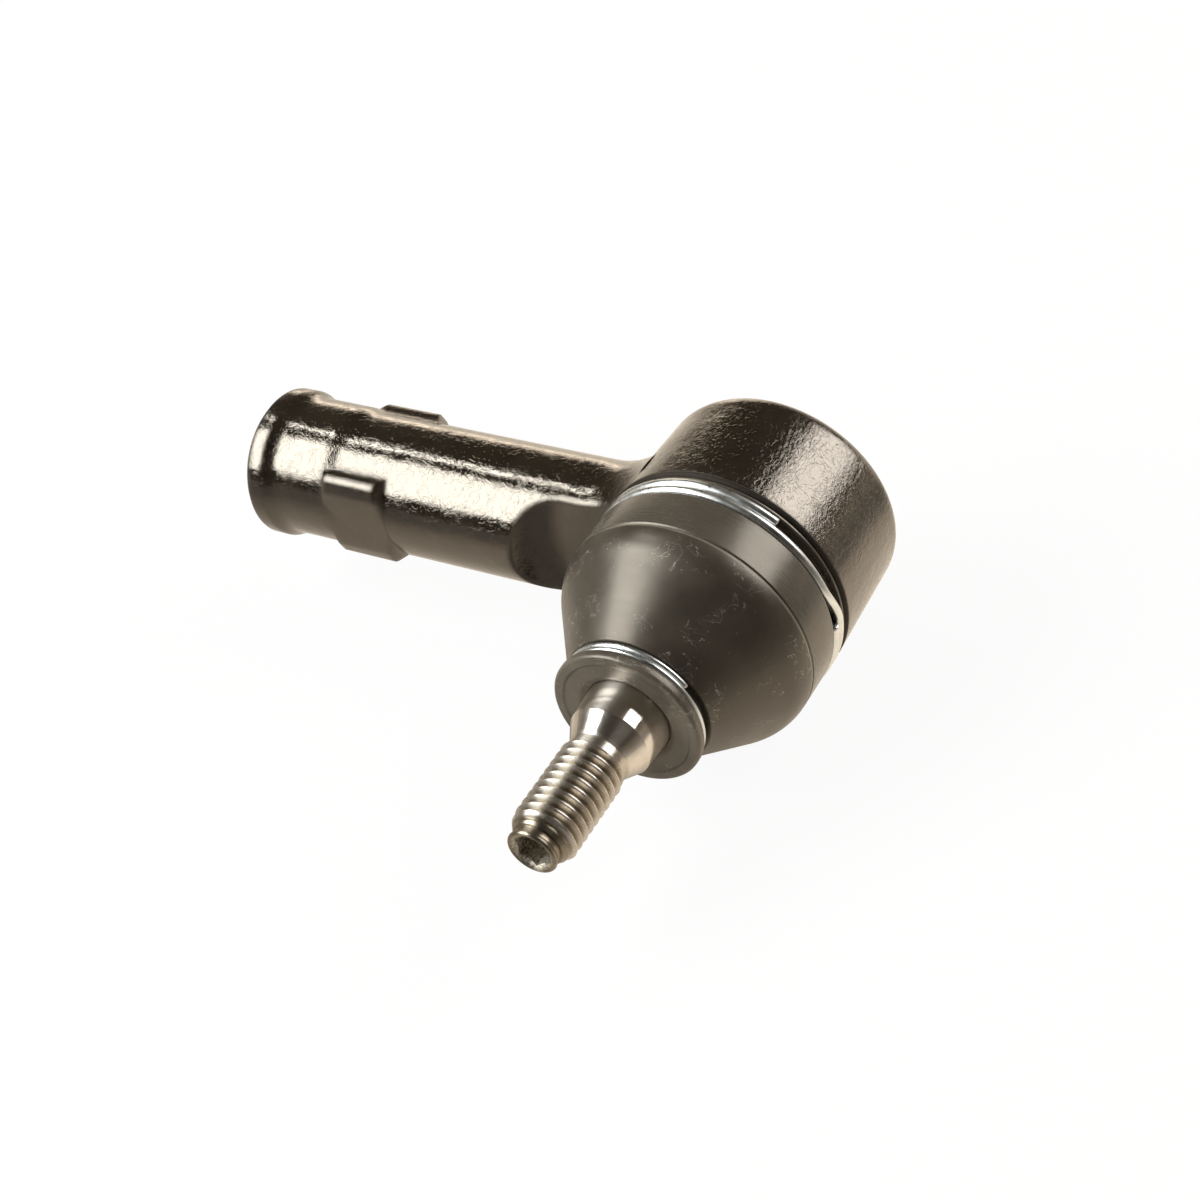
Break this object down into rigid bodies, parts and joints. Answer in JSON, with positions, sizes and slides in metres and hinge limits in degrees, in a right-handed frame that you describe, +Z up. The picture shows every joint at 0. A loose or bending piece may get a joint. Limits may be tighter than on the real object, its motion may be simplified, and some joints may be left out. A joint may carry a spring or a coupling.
{
  "type": "tie rod end",
  "caption": "Outer steering tie rod end: a black forged housing with a threaded socket shank, and a tapered ball stud that swings under a rubber dust boot held by wire clamp rings.",
  "frame": {"origin": "centre of the ball, where the stud's swing axes cross", "axes": "-Y along the stud towards its tip, -X along the shank towards its threaded end, +Z up with the part lying on its side"},
  "size_m": [0.1051, 0.0781, 0.0402],
  "materials": {
    "black_coated_steel": "gloss black coating over forged steel",
    "zinc_plated_steel": "zinc plated",
    "bearing_plastic": "moulded, greased",
    "spring_steel": "plain spring steel",
    "boot_rubber": "satin moulded rubber",
    "clamp_wire": "bright zinc plated wire",
    "stud_steel": "bright plated, turned and rolled"
  },
  "bodies": {
    "housing": {"housing": "black_coated_steel", "closing_plate": "zinc_plated_steel", "front_race": "bearing_plastic", "pressure_seat": "bearing_plastic", "preload_spring": "spring_steel", "housing_clamp_ring": "clamp_wire"},
    "boot": {"dust_boot": "boot_rubber"},
    "boot_end": {"stud_clamp_ring": "clamp_wire"},
    "stud": {"ball_stud": "stud_steel"}
  },
  "joints": [
    {"name": "stud_swing_vertical", "type": "hinge", "parent": "housing", "child": "boot", "pos_m": [0, 0, 0], "axis": [1, 0, 0], "range_deg": [-20, 20], "deforming": ["dust_boot"]},
    {"name": "stud_swing_lateral", "type": "hinge", "parent": "boot", "child": "boot_end", "pos_m": [0, 0, 0], "axis": [0, 0, 1], "range_deg": [-20, 20], "deforming": ["dust_boot"]},
    {"name": "stud_spin", "type": "hinge", "parent": "boot_end", "child": "stud", "pos_m": [0, 0, 0], "axis": [0, 1, 0], "continuous": true}
  ]
}
